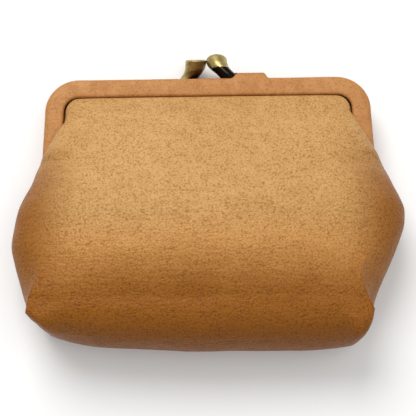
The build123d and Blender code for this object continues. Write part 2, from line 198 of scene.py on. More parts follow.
BOX_POWER = 2.4
GUSSET_POWER = 1.45


def opening_half_width(height):
    """Inside of the frame at a height, with its rounded upper corners."""
    inner = BAND_CORNER - BAND_WIDTH - SLOT_PADDING
    below = np.clip(FRONT_TOP - height, 0, inner)
    return inner - np.sqrt(np.maximum(inner ** 2 - (inner - below) ** 2, 0))


def front_section(height, side, fold, t_front, t_side):
    """One half of the front's outline at a height: from the middle to the fold, then on to the seam."""
    width = float(curve(side, height)) - float(opening_half_width(height))
    rise = float(curve(FRONT_RISE, height))
    seam = float(curve(SEAM_RISE, height))
    power = float(curve(SECTION_POWER, height))
    crease = 1 - float(smooth(CORNER_TIP + 4, FOLD_FADE, height))
    fold_x = float(curve(fold, height)) * crease + width * FRONT_FOLD * (1 - crease)
    fold_x = min(fold_x, width - 0.05)
    round_fold = seam + (rise - seam) * (1 - (fold_x / width) ** power) ** (1 / power)
    boxed_fold = seam + (rise - seam) * BOX_RISE
    fold_z = boxed_fold * crease + round_fold * (1 - crease)
    x_front = fold_x * t_front
    round_z = seam + (rise - seam) * (1 - (x_front / width) ** power) ** (1 / power)
    boxed_z = fold_z + (rise - fold_z) * (1 - t_front ** BOX_POWER)
    z_front = boxed_z * crease + round_z * (1 - crease)
    angle_start = math.asin(min(1, (fold_x / width) ** (power / 2)))
    angle = angle_start + (math.pi / 2 - angle_start) * t_side
    round_x = width * np.sin(angle) ** (2 / power)
    round_z = seam + (rise - seam) * np.cos(angle).clip(0) ** (2 / power)
    boxed_x = fold_x + (width - fold_x) * np.sin(math.pi / 2 * t_side) ** GUSSET_POWER
    boxed_z = fold_z + (seam - fold_z) * t_side
    x_side = boxed_x * crease + round_x * (1 - crease)
    z_side = boxed_z * crease + round_z * (1 - crease)
    return x_front, z_front, x_side, z_side


def back_section(height, side, fold, t_front, t_side):
    """The same for the back, which lies flat on the surface and has no crease, so its fold isn't asked."""
    width = float(curve(side, height)) - float(opening_half_width(height))
    flat = float(curve(BACK_TOP_RISE, height))
    seam = float(curve(BACK_SEAM_RISE, height))
    fold_x = width * BACK_FOLD
    power = BACK_POWER
    angle_start = math.asin((fold_x / width) ** (power / 2))
    angle = angle_start + (math.pi / 2 - angle_start) * t_side
    x_front = fold_x * t_front
    z_front = seam + (flat - seam) * (1 - (x_front / width) ** power) ** (1 / power)
    x_side = width * np.sin(angle) ** (2 / power)
    z_side = seam + (flat - seam) * np.cos(angle).clip(0) ** (2 / power)
    return x_front, z_front, x_side, z_side


def tuck(height, width, seam, slot_z):
    """Two points that hide an edge: in the seam below the hinge, and in the slot above it."""
    in_slot = float(smooth(56, 60, height))
    inner = HALF_FRAME - BAND_WIDTH + ARM_SPLAY * (BAND_TOP - height) / (BAND_TOP - HINGE_HEIGHT)
    inner -= float(opening_half_width(height))
    over = max(0.0, width - inner + 0.3)
    near, far = SEAM_TURNS
    first = (width - near * (1 - in_slot) - over * in_slot, seam - 0.3 * in_slot * np.sign(seam - slot_z))
    last = ((width - far) * (1 - in_slot) + (inner + 0.9) * in_slot, seam * (1 - in_slot) + slot_z * in_slot)
    return first, last


def half_sheet(section, side, fold, bottom, heights, seam_rise, slot_z, columns, side_columns, mirror):
    """Points of one half of a sheet, as two lists of rows: the front's columns and the gusset's columns."""
    t_front = np.linspace(0, 1, columns)
    t_side = 1 - (1 - np.linspace(0, 1, side_columns)) ** 1.25
    sign = -1 if mirror else 1
    front_rows, side_rows = [], []
    for height in heights:
        x_f, z_f, x_s, z_s = section(height, side, fold, t_front, t_side)
        front_rows.append(np.column_stack([x_f, np.full(columns, height), z_f]))
        gusset = np.column_stack([x_s, np.full(side_columns, height), z_s])
        valley = VALLEY_DEPTH * (1 - float(smooth(55, 58, height)))
        pull = valley + PUCKER * math.cos(2 * math.pi * height / STITCH_PITCH) * (valley > 0)
        distance = np.abs(z_s - z_s[-1])
        gusset[:, 0] -= pull * np.exp(-(distance / VALLEY_REACH) ** 2)
        for x, z in tuck(height, gusset[-1, 0], z_s[-1], slot_z):
            gusset = np.vstack([gusset, [x, height, z]])
        side_rows.append(gusset)
    # below here the bag turns under: each column follows a rounded path that is squarer towards the corner
    last = front_rows[-1].copy()
    seam_start, seam_end = float(curve(seam_rise, BOTTOM_START)), float(curve(seam_rise, CORNER_TIP))
    tip = float(curve(side, CORNER_TIP))
    corner_rows = max(8, columns // 6)
    bottom_rows = 2 * corner_rows
    squareness = 2.1 + 5.0 * smooth(0.80, 1.0, t_front)
    angles = np.concatenate([np.linspace(0, math.pi / 4, corner_rows + 1)[1:],
                             np.linspace(math.pi / 4, math.pi / 2, bottom_rows + 1)[1:]])
    for angle in angles:
        u, w = math.sin(angle), math.cos(angle)
        reach = (u ** squareness + w ** squareness) ** (-1 / squareness)
        widen = min(1.0, math.tan(min(angle, math.pi / 4)))
        x = t_front * (last[-1, 0] + (tip - last[-1, 0]) * widen)
        seam = seam_start + (seam_end - seam_start) * widen
        height = BOTTOM_START - (BOTTOM_START - curve(bottom, t_front * tip)) * reach * u
        z = seam + (last[:, 2] - seam) * reach * w
        pull = VALLEY_DEPTH + PUCKER * np.cos(2 * math.pi * x / STITCH_PITCH)
        height = height + pull * np.exp(-((z - seam) / VALLEY_REACH) ** 2)
        front_rows.append(np.column_stack([x, height, z]))
    # the gusset's lower edge is sewn to the side of the bottom
    edge = np.array([row[-1] for row in front_rows[len(heights) + corner_rows - 1:]])
    share = (edge[:, 2] - seam_end) / (edge[0, 2] - seam_end)
    edge_heights = np.interp(1 - t_side, share[::-1], edge[::-1, 1])
    side_width = float(curve(side, BOTTOM_START))
    for k in range(corner_rows):
        down = math.tan(angles[k])
        fold_point = front_rows[len(heights) + k][-1]
        width = side_width + (tip - side_width) * down
        x = fold_point[0] + (width - fold_point[0]) * np.sin(math.pi / 2 * t_side) ** GUSSET_POWER
        seam = seam_start + (seam_end - seam_start) * down
        z = fold_point[2] + (seam - fold_point[2]) * t_side
        fall = (BOTTOM_START - fold_point[1]) / (BOTTOM_START - edge[0, 1])
        height = BOTTOM_START - (BOTTOM_START - edge_heights) * fall
        pull = VALLEY_DEPTH + PUCKER * np.cos(2 * math.pi * height / STITCH_PITCH)
        x = x - pull * np.exp(-((z - seam) / VALLEY_REACH) ** 2)
        gusset = np.column_stack([x, height, z])
        hidden = [[gusset[-1, 0] - turn, height[-1], seam] for turn in SEAM_TURNS]
        gusset = np.vstack([gusset, *hidden])
        side_rows.append(gusset)
    # both edges of the corner's seam pull in
    for row, point in zip(front_rows[len(heights) + corner_rows - 1:], edge):
        distance = np.abs(row[:, 0] - tip)
        amount = CORNER_PULL * np.exp(-(distance / VALLEY_REACH) ** 2)
        row[:, 0] -= amount
        row[:, 1] += amount
    for k in range(corner_rows):
        distance = abs(side_rows[len(heights) + k][:, 1] - side_rows[-1][:, 1])
        amount = CORNER_PULL * np.exp(-(distance / VALLEY_REACH) ** 2)
        side_rows[len(heights) + k][:, 0] -= amount
        side_rows[len(heights) + k][:, 1] += amount
    # the bottom seam turns in, and the top edge goes into the slot
    hem = front_rows[-1]
    front_rows += [hem + [0, turn, 0] for turn in BOTTOM_TURNS]
    for rows in (front_rows, side_rows):
        top = rows[0]
        deeper = 0.8 * np.sign(slot_z - top[:1, 2])
        rows.insert(0, np.column_stack([top[:, 0], top[:, 1] + 0.4, top[:, 2] + deeper]))
        rows.insert(0, np.column_stack([top[:, 0] * 1.01, top[:, 1] + 1.6, np.full(len(top), slot_z)]))
    for rows in (front_rows, side_rows):
        for row in rows:
            row[:, 0] *= sign
    return front_rows, side_rows, edge * [sign, 1, 1]


def sheet_points(section, sides, folds, bottoms, heights, seam_rise, slot_z, columns, side_columns, front):
    """All of one sheet: its middle and both gussets."""
    vertices, faces, edges = [], [], []
    for side, fold, bottom, mirror in zip(sides, folds, bottoms, (False, True)):
        *halves, edge = half_sheet(section, side, fold, bottom, heights, seam_rise, slot_z, columns,
                                   side_columns, mirror)
        edges.append(edge)
        for rows in halves:
            start = len(vertices)
            vertices += [point for row in rows for point in row]
            faces += grid_faces(len(rows), len(rows[0]), start, flip=(mirror != front))
    return vertices, faces, edges


BROAD_RELIEF, MIDDLE_RELIEF, FINE_RELIEF = 0.55, 0.16, 0.035


def soft_relief(piece, fades):
    """Moves a sheet's surface in and out a little, as soft leather lies: broad dents and finer wrinkles."""
    mesh = piece.data
    normals = np.zeros(len(mesh.vertices) * 3)
    mesh.vertices.foreach_get("normal", normals)
    normals = normals.reshape(-1, 3)
    points = np.zeros(len(mesh.vertices) * 3)
    mesh.vertices.foreach_get("co", points)
    points = points.reshape(-1, 3)
    moved = points.copy()
    for i, point in enumerate(points):
        x, y, z = point / MM
        broad = noise.noise((x / 26, y / 21 + 5, z / 26 + SEED))
        middle = noise.noise((x / 11 + 9, y / 7, z / 11 + SEED))
        fine = noise.noise((x / 5.0 + 3, y / 2.2, z / 4 + SEED))
        fade = fades(x, y - BAG_BOTTOM_Y, z)
        moved[i] += normals[i] * (BROAD_RELIEF * broad + MIDDLE_RELIEF * middle
                                  + FINE_RELIEF * fine) * fade * MM
    mesh.vertices.foreach_set("co", moved.ravel())
    mesh.update()


def thicken(piece, thickness):
    """Gives a sheet its thickness, inwards."""
    solid = piece.modifiers.new("thickness", "SOLIDIFY")
    solid.thickness = thickness * MM
    solid.offset = -1
    apply_modifiers(piece)


# ---- frame band, swept round the frame -----------------------------------------------------------
BUMP_START, BUMP_END, BUMP_HEIGHT = 8.0, 18.6, 1.75    # leather over the foot of the clasp
BAND_ROUNDING = 2.2        # outer edge
LIP_ROUNDING = 1.0         # inner edge
BAND_SLOT = (2.0, 1.6)     # the slot's floor, in from the outer outline, and half its width
BAND_UNEVENNESS = 0.05
ARM_PAST_HINGE = 0.15      # short enough that the arms clear each other as the purse opens
EAR_RADIUS = 4.1
EAR_OUTER, EAR_MIDDLE, EAR_INNER = 51.1, 50.4, 49.7    # x of the two ears' faces at one side
EAR_CLEARANCE = 0.04       # each ear stands back this much from EAR_MIDDLE


def band_path(stations):
    """Points along the frame's outer outline, with the inward direction at each, from the left arm's end."""
    end = HINGE_HEIGHT - ARM_PAST_HINGE
    radius = BAND_CORNER
    top = BAND_TOP
    low_x = HALF_FRAME + ARM_SPLAY * (top - end) / (top - HINGE_HEIGHT)
    tilt = math.atan2(low_x - HALF_FRAME, top - end)
    half = []
    turn = math.pi / 2 + tilt
    corner_x = HALF_FRAME + ARM_SPLAY * radius / (top - HINGE_HEIGHT) - radius
    for t in np.linspace(0, 1, stations):
        half.append((corner_x * t, top, 0.0, -1.0))
    for t in np.linspace(0, 1, stations // 2)[1:]:
        angle = math.pi / 2 - turn * t
        half.append((corner_x + radius * math.cos(angle), top - radius + radius * math.sin(angle),
                     -math.cos(angle), -math.sin(angle)))
    x, height, inward_x, inward_h = half[-1]
    for t in np.linspace(0, 1, stations // 3)[1:]:
        half.append((x + (low_x - x) * t, height + (end - height) * t, inward_x, inward_h))
    left = [(-px, ph, -ix, ih) for px, ph, ix, ih in half[:0:-1]]
    return left + half


def rounded_path(corners, steps):
    """A closed outline through corners given as (x, y, radius), with each corner rounded."""
    points = []
    count = len(corners)
    for i in range(count):
        px, py, _ = corners[i - 1]
        x, y, radius = corners[i]
        nx, ny, _ = corners[(i + 1) % count]
        before = Vector((px - x, py - y)).normalized()
        after = Vector((nx - x, ny - y)).normalized()
        if radius <= 0:
            points.append((x, y))
            continue
        for s in range(steps + 1):
            t = s / steps
            point = Vector((x, y)) + before * radius * (1 - t) ** 2
            point += after * radius * t ** 2
            points.append((point.x, point.y))
        edge = Vector((nx - x, ny - y)).length
        begin, finish = radius / edge, 1 - corners[(i + 1) % count][2] / edge
        if (finish - begin) * edge > 1.0:
            for k in (begin + (finish - begin) / 3, begin + (finish - begin) * 2 / 3):
                points.append((x + (nx - x) * k, y + (ny - y) * k))
    unique = [points[0]]
    for p in points[1:]:
        if (p[0] - unique[-1][0]) ** 2 + (p[1] - unique[-1][1]) ** 2 > 1e-6:
            unique.append(p)
    return unique


def band_section():
    """The wrap cut across: distance in from the frame's outer outline, and height above the table side."""
    floor, half_slot = BAND_SLOT
    low, high = BAND_DEPTH / 2 - half_slot, BAND_DEPTH / 2 + half_slot
    return rounded_path([(0, 0, 0.6), (0, BAND_DEPTH, BAND_ROUNDING), (BAND_WIDTH, BAND_DEPTH, LIP_ROUNDING),
                         (BAND_WIDTH, high, 0.2), (floor, high, 0.2), (floor, low, 0.2),
                         (BAND_WIDTH, low, 0.2), (BAND_WIDTH, 0, 0.3)], 5)


def make_band(name, material, front):
    """One half's leather wrap, raised over the clasp's foot."""
    path = band_path(90)
    section = band_section()
    points = []
    for x, height, inward_x, inward_h in path:
        bump = 0.0
        if inward_h == -1.0:
            bump = BUMP_HEIGHT * float(smooth(BUMP_START - 0.8, BUMP_START + 1.6, x)
                                       * (1 - smooth(BUMP_END - 1.0, BUMP_END + 0.5, x)))
        for inset, level in section:
            outer = 1 - float(smooth(0.0, 1.6, inset))
            px = x + inward_x * inset
            ph = height + inward_h * inset + bump * outer
            uneven = BAND_UNEVENNESS * noise.noise((px / 9, ph / 9, level / 9 + SEED))
            points.append((px, ph + uneven * (inset < 0.5), level + uneven * 1.4))
    faces = grid_faces(len(path), len(section), wrap=True)
    faces += [tuple(range(len(section)))[::-1],
              tuple(range((len(path) - 1) * len(section), len(path) * len(section)))]
    middle = HINGE_Z + HALVES_GAP / 2
    placed = [(px, ph, middle + level) for px, ph, level in points]
    if not front:
        placed = [(-px, ph, 2 * HINGE_Z - z) for px, ph, z in placed]
    # leather covers over the ears of the hinge
    outer = EAR_OUTER if front else EAR_MIDDLE - EAR_CLEARANCE
    inner = EAR_MIDDLE + EAR_CLEARANCE if front else EAR_INNER
    # each ring is a share of the ear's radius, and its x
    rings = [(0.6, inner), (1.0, inner), (1.0, outer - 0.3), (0.92, outer - 0.06), (0.6, outer),
             (0.05, outer)]
    around = 40
    for sign in (1, -1):
        start = len(placed)
        for scale, x in rings:
            for a in range(around):
                angle = 2 * math.pi * a / around
                placed.append((sign * x, HINGE_HEIGHT + EAR_RADIUS * scale * math.cos(angle),
                               HINGE_Z + EAR_RADIUS * scale * math.sin(angle)))
        faces += grid_faces(len(rings), around, start, wrap=True, flip=sign < 0)
        caps = (tuple(range(start, start + around))[::-1],
                tuple(range(start + (len(rings) - 1) * around, start + len(rings) * around)))
        faces += [cap[::-1] if sign < 0 else cap for cap in caps]
    return make_piece(name, placed, faces, material)


# ---- clasp ---------------------------------------------------------------------------------------
CLASP_SHIFT = -0.3         # the clasp sits a little left of the middle
HEAD_TILT = math.radians(21)
FOOT_Z = 3.15              # from the halves' meeting plane to the middle of the foot
FOOT_HALF_DEPTH = 0.5
FOOT_START = 7.5
FOOT_PROUD = 0.32          # how far the foot's top stands out of the leather bump


def make_finger(name, material, front):
    """Brass finger: a foot under the leather, a stem, and a head with a flat end tilted to the other half."""
    # height above the band, x, z from the halves' meeting plane, half width, half depth
    spine = [(-1.6, 8.8, 3.15, 3.5, 1.9), (-0.3, 8.3, 3.15, 3.3, 2.0), (1.0, 7.1, 3.1, 3.05, 2.1),
             (2.4, 5.7, 2.8, 2.8, 2.3), (4.0, 4.35, 2.1, 2.9, 2.7), (5.8, 3.5, 1.1, 3.22, 3.05),
             (6.9, 3.3, 0.4, 3.3, 3.2), (7.35, 3.28, 0.0, 3.29, 3.2)]
    around = 48
    sections = 40
    points = []
    stations = np.linspace(0, len(spine) - 1, sections)
    keys = np.arange(len(spine))
    values = [curve(list(zip(keys, [row[i] for row in spine])), stations) for i in range(5)]
    for k in range(sections):
        height, x, z, half_x, half_z = (v[k] for v in values)
        lean = HEAD_TILT * float(smooth(0.2, 1.0, k / (sections - 1)))
        for a in range(around):
            angle = 2 * math.pi * a / around
            px, pz = half_x * math.cos(angle), half_z * math.sin(angle)
            points.append((x + px, BAND_TOP + height + pz * math.sin(lean), z + pz * math.cos(lean)))
    height, x, z, half_x, half_z = (v[-1] for v in values)
    # the head's flat end: shares of its size, and how far each ring stands out
    rim = [(0.98, 0.16), (0.93, 0.30), (0.85, 0.38), (0.72, 0.36), (0.5, 0.30), (0.25, 0.27), (0.02, 0.26)]
    for scale, rise in rim:
        for a in range(around):
            angle = 2 * math.pi * a / around
            px, pz = half_x * scale * math.cos(angle), half_z * scale * math.sin(angle)
            points.append((x + px, BAND_TOP + height + pz * math.sin(HEAD_TILT) + rise * math.cos(HEAD_TILT),
                           z + pz * math.cos(HEAD_TILT) - rise * math.sin(HEAD_TILT)))
    rings = sections + len(rim)
    faces = grid_faces(rings, around, wrap=True, flip=True)
    faces += [tuple(range(around)), tuple(range((rings - 1) * around, rings * around))[::-1]]
    # the foot, whose top shows along the bump
    start = len(points)
    foot_top = BUMP_HEIGHT + FOOT_PROUD
    outline = rounded_path([(-FOOT_HALF_DEPTH, -0.8, 0.1), (FOOT_HALF_DEPTH, -0.8, 0.1),
                            (FOOT_HALF_DEPTH, foot_top, 0.2), (-FOOT_HALF_DEPTH, foot_top, 0.2)], 4)
    ends = [(FOOT_START, 1.0), (BUMP_END - 1.4, 1.0), (BUMP_END - 0.9, 0.96), (BUMP_END - 0.65, 0.85)]
    for foot_x, scale in ends:
        points += [(foot_x, BAND_TOP + h * (scale if h > 0 else 1), FOOT_Z + d * scale) for d, h in outline]
    count = len(outline)
    faces += grid_faces(len(ends), count, start, wrap=True, flip=True)
    faces += [tuple(range(start, start + count)),
              tuple(range(start + (len(ends) - 1) * count, start + len(ends) * count))[::-1]]
    placed = [(px, h, HINGE_Z + z) for px, h, z in points]
    if not front:
        placed = [(-px, h, 2 * HINGE_Z - z) for px, h, z in placed]
    placed = [(px + CLASP_SHIFT, h, z) for px, h, z in placed]
    return make_piece(name, placed, faces, material)


# ---- stitches ------------------------------------------------------------------------------------
def make_stitches(name, places, material, radius=0.26, length=1.3):
    """Short rounded stitches: each place is a point, the way the stitch runs, and the way out of the seam."""
    points, faces = [], []
    around = 8
    for point, along, out in places:
        point, along, out = Vector(point), Vector(along).normalized(), Vector(out).normalized()
        side = along.cross(out).normalized()
        start = len(points)
        rings = 7
        for k in range(rings):
            t = -1 + 2 * k / (rings - 1)
            width = radius * math.sqrt(max(0.02, 1 - t ** 4))
            centre = point + along * t * length / 2 - out * 0.35 * t * t
            for a in range(around):
                angle = 2 * math.pi * a / around
                points.append(tuple(centre + side * width * math.cos(angle) + out * width * math.sin(angle)))
        faces += grid_faces(rings, around, start, wrap=True)
        faces += [tuple(range(start, start + around))[::-1],
                  tuple(range(start + (rings - 1) * around, start + rings * around))]
    return make_piece(name, points, faces, material)


# ---- materials -----------------------------------------------------------------------------------
def srgb(red, green, blue):
    """A colour given as 0 to 255 screen values, as the linear values that shaders take."""
    def linear(v):
        v /= 255
        return v / 12.92 if v <= 0.04045 else ((v + 0.055) / 1.055) ** 2.4
    return (linear(red), linear(green), linear(blue), 1.0)


class Nodes:
    """Builds a node tree with short calls."""

    def __init__(self, name, **constants):
        self.material = bpy.data.materials.new(name)
        self.material.use_nodes = True
        self.tree = self.material.node_tree
        self.shader = self.tree.nodes["Principled BSDF"]
        for key, value in constants.items():
            self.shader.inputs[key.replace("_", " ")].default_value = value
        self.place = self.tree.nodes.new("ShaderNodeTexCoord").outputs["Object"]

    def link(self, value, socket):
        if isinstance(value, bpy.types.NodeSocket):
            self.tree.links.new(value, socket)
        else:
            socket.default_value = value

    def scaled(self, x, y, z):
        node = self.tree.nodes.new("ShaderNodeMapping")
        node.inputs["Scale"].default_value = (x, y, z)
        self.link(self.place, node.inputs["Vector"])
        return node.outputs["Vector"]

    def noise(self, scale, detail=3.0, rough=0.55, vector=None, distortion=0.0):
        node = self.tree.nodes.new("ShaderNodeTexNoise")
        node.inputs["Scale"].default_value = scale
        node.inputs["Detail"].default_value = detail
        node.inputs["Roughness"].default_value = rough
        node.inputs["Distortion"].default_value = distortion
        self.link(vector or self.place, node.inputs["Vector"])
        return node.outputs["Fac"]

    def warped(self, vector, scale, amount):
        """Moves texture coordinates about, so that cells are uneven."""
        node = self.tree.nodes.new("ShaderNodeTexNoise")
        node.inputs["Scale"].default_value = scale
        self.link(vector, node.inputs["Vector"])
        centred = self.tree.nodes.new("ShaderNodeVectorMath")
        centred.operation = "MULTIPLY_ADD"
        self.link(node.outputs["Color"], centred.inputs[0])
        centred.inputs[1].default_value = (amount, amount, amount)
        self.link(vector, centred.inputs[2])
        return centred.outputs["Vector"]

    def cells(self, scale, feature, vector):
        node = self.tree.nodes.new("ShaderNodeTexVoronoi")
        node.feature = feature
        node.inputs["Scale"].default_value = scale
        self.link(vector, node.inputs["Vector"])
        return node.outputs["Distance"]

    def math(self, operation, a, b=0.0):
        node = self.tree.nodes.new("ShaderNodeMath")
        node.operation = operation
        self.link(a, node.inputs[0])
        self.link(b, node.inputs[1])
        return node.outputs[0]

    def span(self, value, low, high, to_low=0.0, to_high=1.0):
        node = self.tree.nodes.new("ShaderNodeMapRange")
        node.interpolation_type = "SMOOTHSTEP"
        values = {"Value": value, "From Min": low, "From Max": high, "To Min": to_low, "To Max": to_high}
        for key, socket_value in values.items():
            self.link(socket_value, node.inputs[key])
        return node.outputs["Result"]

    def axis(self, name):
        node = self.tree.nodes.new("ShaderNodeSeparateXYZ")
        self.link(self.place, node.inputs[0])
        return node.outputs[name]

    def mix(self, share, a, b, mode="MIX"):
        node = self.tree.nodes.new("ShaderNodeMix")
        node.data_type = "RGBA"
        node.blend_type = mode
        self.link(share, node.inputs["Factor"])
        self.link(a, node.inputs["A"])
        self.link(b, node.inputs["B"])
        return node.outputs["Result"]

    def bump(self, *layers):
        """Bumps on top of each other; each layer is a height and its depth in millimetres."""
        normal = None
        for height, depth in layers:
            node = self.tree.nodes.new("ShaderNodeBump")
            node.inputs["Distance"].default_value = depth * MM
            node.inputs["Strength"].default_value = 1.0
            self.link(height, node.inputs["Height"])
            if normal is not None:
                self.link(normal, node.inputs["Normal"])
            normal = node.outputs["Normal"]
        self.link(normal, self.shader.inputs["Normal"])

    def finish(self, color, roughness):
        self.link(color, self.shader.inputs["Base Color"])
        self.link(roughness, self.shader.inputs["Roughness"])
        return self.material


# metres from the frame's origin between which each tone of the leather comes in; the lower and bottom tones
# are partly the leather's own colour and partly painted shade, and the side and hem ones are painted shade
LOWER_TONE_AND_SHADE_Y = (-0.002, -0.024)
BOTTOM_TONE_AND_SHADE_Y = (-0.016, -0.033)
PAINTED_HEM_SHADE_Y = (-0.034, -0.046)
PAINTED_SIDE_SHADE_X = (0.035, 0.056)
PAINTED_SIDE_SHADE_Y = (0.022, 0.002)
TONE_DRIFT = 0.010         # how unevenly they come in
PAINTED_RIM_SHADE_DEPTHS = (0.25, 1.5)    # millimetres below the band's face, between which the painted shade on its rounded outer edge comes in


def leather_material(name, light, dark, lower, bottom, pores, grain_depth, painted_side_shade, rim=None):
    """Pebbled leather: grain, dark pores, faint wrinkles across, and a colour that deepens downwards, partly
    its own tone and partly painted shade, with painted shade on its sides low down, on its under edge and, if
    rim is given, on the band's rounded outer edge.
    """
    n = Nodes(name, Specular_IOR_Level=0.28, Specular_Tint=(1.0, 0.86, 0.66, 1.0))
    warped = n.scaled(1.0, 1.25, 1.0)
    wavy = n.warped(warped, 420, 0.0006)
    grain = n.cells(1250, "F1", wavy)
    creases = n.cells(1050, "DISTANCE_TO_EDGE", wavy)
    patches = n.noise(38, 4.0, 0.6)
    speckle = n.noise(1500, 2.0, 0.6)
    medium = n.noise(260, 3.0, 0.6)
    wrinkle = n.noise(300, 3.0, 0.6, n.scaled(0.34, 1.5, 0.5), 0.6)
    tone = n.math("ADD", n.math("MULTIPLY", patches, 0.55), n.math("MULTIPLY", medium, 0.45))
    color = n.mix(n.span(tone, 0.36, 0.66), light, dark)
    drift = n.math("ADD", n.axis("Y"), n.math("MULTIPLY", n.math("SUBTRACT", patches, 0.5), TONE_DRIFT))
    across = n.math("ABSOLUTE", n.axis("X"))
    # darker downwards: partly the leather's own tone, partly painted shade
    color = n.mix(n.span(drift, *LOWER_TONE_AND_SHADE_Y), color, lower)
    color = n.mix(n.span(drift, *BOTTOM_TONE_AND_SHADE_Y), color, bottom)
    # painted shade: the sides are darkened towards the bottom colour, fading out upwards
    side = n.math("MULTIPLY", n.span(across, *PAINTED_SIDE_SHADE_X, 0.0, painted_side_shade), n.span(drift, *PAINTED_SIDE_SHADE_Y))
    color = n.mix(side, color, bottom)
    # painted shade: the bag's under edge is darkened to a deep brown
    color = n.mix(n.span(n.axis("Y"), *PAINTED_HEM_SHADE_Y, 0.0, 0.8), color, srgb(124, 70, 6))
    shade = n.mix(1.0, color, srgb(196, 172, 138), "MULTIPLY")
    pore = n.math("MULTIPLY", n.span(speckle, 0.50, 0.66), n.span(medium, 0.30, 0.62, 0.8, 1.0))
    color = n.mix(n.math("MULTIPLY", pore, pores), color, shade)
    crease = n.math("MULTIPLY", n.span(creases, 0.0, 0.2, pores * 0.5, 0.0),
                    n.span(medium, 0.30, 0.6, 0.5, 1.0))
    color = n.mix(crease, color, shade)
    # painted shade: the band's rounded outer edge, lower in Z, is darkened
    if rim:
        low, high = ((BAND_FRONT_Z - depth) * MM for depth in PAINTED_RIM_SHADE_DEPTHS)
        outer = n.span(n.axis("Z"), low, high, 0.0, 0.75)
        color = n.mix(outer, color, rim)
    rough = n.span(n.math("ADD", medium, n.math("MULTIPLY", grain, 0.4)), 0.3, 1.1, 0.38, 0.56)
    n.bump((wrinkle, 0.42 * grain_depth), (grain, -0.15 * grain_depth), (creases, 0.05 * grain_depth),
           (speckle, 0.05 * grain_depth))
    return n.finish(color, rough)


BAND_TOP_Y = BAG_BOTTOM_Y + BAND_TOP


def brass_material():
    """Antiqued brass: olive where it is worn, nearly black in a ragged band low on the front finger's stem,
    with painted shade along the back finger's underside.
    """
    n = Nodes("antique_brass_worn", Metallic=1.0)
    low = n.span(n.axis("Y"), (BAND_TOP_Y + 5.2) * MM, (BAND_TOP_Y + 2.6) * MM)
    facing_front = n.span(n.axis("Z"), (HINGE_Z - 1.2) * MM, (HINGE_Z + 2.0) * MM)
    rag = n.noise(1900, 4.0, 0.7)
    smear = n.noise(420, 3.0, 0.6)
    # a ragged, nearly black band low on the front finger's stem
    edge = n.math("ADD", low, n.math("MULTIPLY", n.math("SUBTRACT", rag, 0.5), 0.9))
    # painted shade: a dark strip along the back finger's underside, towards the middle and low
    line = n.math("MULTIPLY", n.math("SUBTRACT", n.axis("Y"), (BAND_TOP_Y + 1.8) * MM), -1.15)
    painted_underside_shade = n.math("ADD", n.math("ADD", n.axis("X"), 4.9 * MM), line)
    painted_underside_shade = n.math("MULTIPLY", n.span(painted_underside_shade, -1.7 * MM, -0.7 * MM), n.span(low, 0.0, 0.3))
    dark = n.math("MAXIMUM", n.math("MULTIPLY", n.span(edge, 0.45, 0.60), facing_front),
                  n.math("MULTIPLY", painted_underside_shade, n.math("SUBTRACT", 1.0, facing_front)))
    brass = n.mix(n.span(smear, 0.35, 0.7), srgb(186, 168, 112), srgb(146, 128, 78))
    color = n.mix(dark, brass, srgb(30, 24, 19))
    rough = n.math("ADD", n.math("MULTIPLY", dark, -0.20), n.span(rag, 0.2, 0.8, 0.34, 0.48))
    n.bump((smear, 0.05), (rag, 0.02))
    return n.finish(color, rough)


THREAD_SPACING = 0.42


def cloth_material():
    """Plain-weave lining cotton."""
    n = Nodes("lining_weave", Specular_IOR_Level=0.25, Sheen_Weight=0.3)
    warp, weft = (n.math("SINE", n.math("MULTIPLY", n.axis(axis), 2 * math.pi / (THREAD_SPACING * MM)))
                  for axis in ("X", "Y"))
    weave = n.math("MULTIPLY", warp, weft)
    wobble = n.noise(180, 3.0)
    color = n.mix(n.span(weave, -0.6, 0.6), srgb(176, 146, 105), srgb(205, 178, 138))
    color = n.mix(n.span(wobble, 0.3, 0.7, 0.0, 0.25), color, srgb(150, 120, 82))
    n.bump((weave, 0.05), (wobble, 0.08))
    return n.finish(color, n.span(wobble, 0.2, 0.8, 0.75, 0.92))


def metal_material(name, tone, shade):
    """Plated steel with fine brushing and light tarnish."""
    n = Nodes(name, Metallic=1.0)
    brush = n.noise(900, 2.0, 0.5, n.scaled(0.15, 3.0, 1.0))
    tarnish = n.noise(240, 4.0, 0.6)
    color = n.mix(n.span(tarnish, 0.42, 0.72), tone, shade)
    n.bump((brush, 0.012))
    return n.finish(color, n.span(tarnish, 0.3, 0.7, 0.26, 0.46))


def fibre_material(name, light, dark, twist):
    """Twisted thread or paper cord."""
    n = Nodes(name, Specular_IOR_Level=0.3, Sheen_Weight=0.2)
    run = n.math("ADD", n.axis("X"), n.math("ADD", n.axis("Y"), n.axis("Z")))
    strand = n.math("SINE", n.math("MULTIPLY", run, 2 * math.pi / (twist * MM)))
    fuzz = n.noise(2600, 3.0, 0.7)
    color = n.mix(n.span(strand, -0.8, 0.8), dark, light)
    color = n.mix(n.span(fuzz, 0.3, 0.7, 0.0, 0.35), color, dark)
    n.bump((strand, 0.05), (fuzz, 0.03))
    return n.finish(color, n.span(fuzz, 0.2, 0.8, 0.6, 0.85))


# the lower and bottom colours are partly the leather's own tone and partly painted shade; 0.98 is the
# strength of the painted side shade
body_leather = leather_material("body_leather_grain", srgb(194, 150, 94), srgb(186, 142, 85),
                                srgb(190, 134, 71), srgb(141, 84, 13), 0.80, 1.0, 0.98)
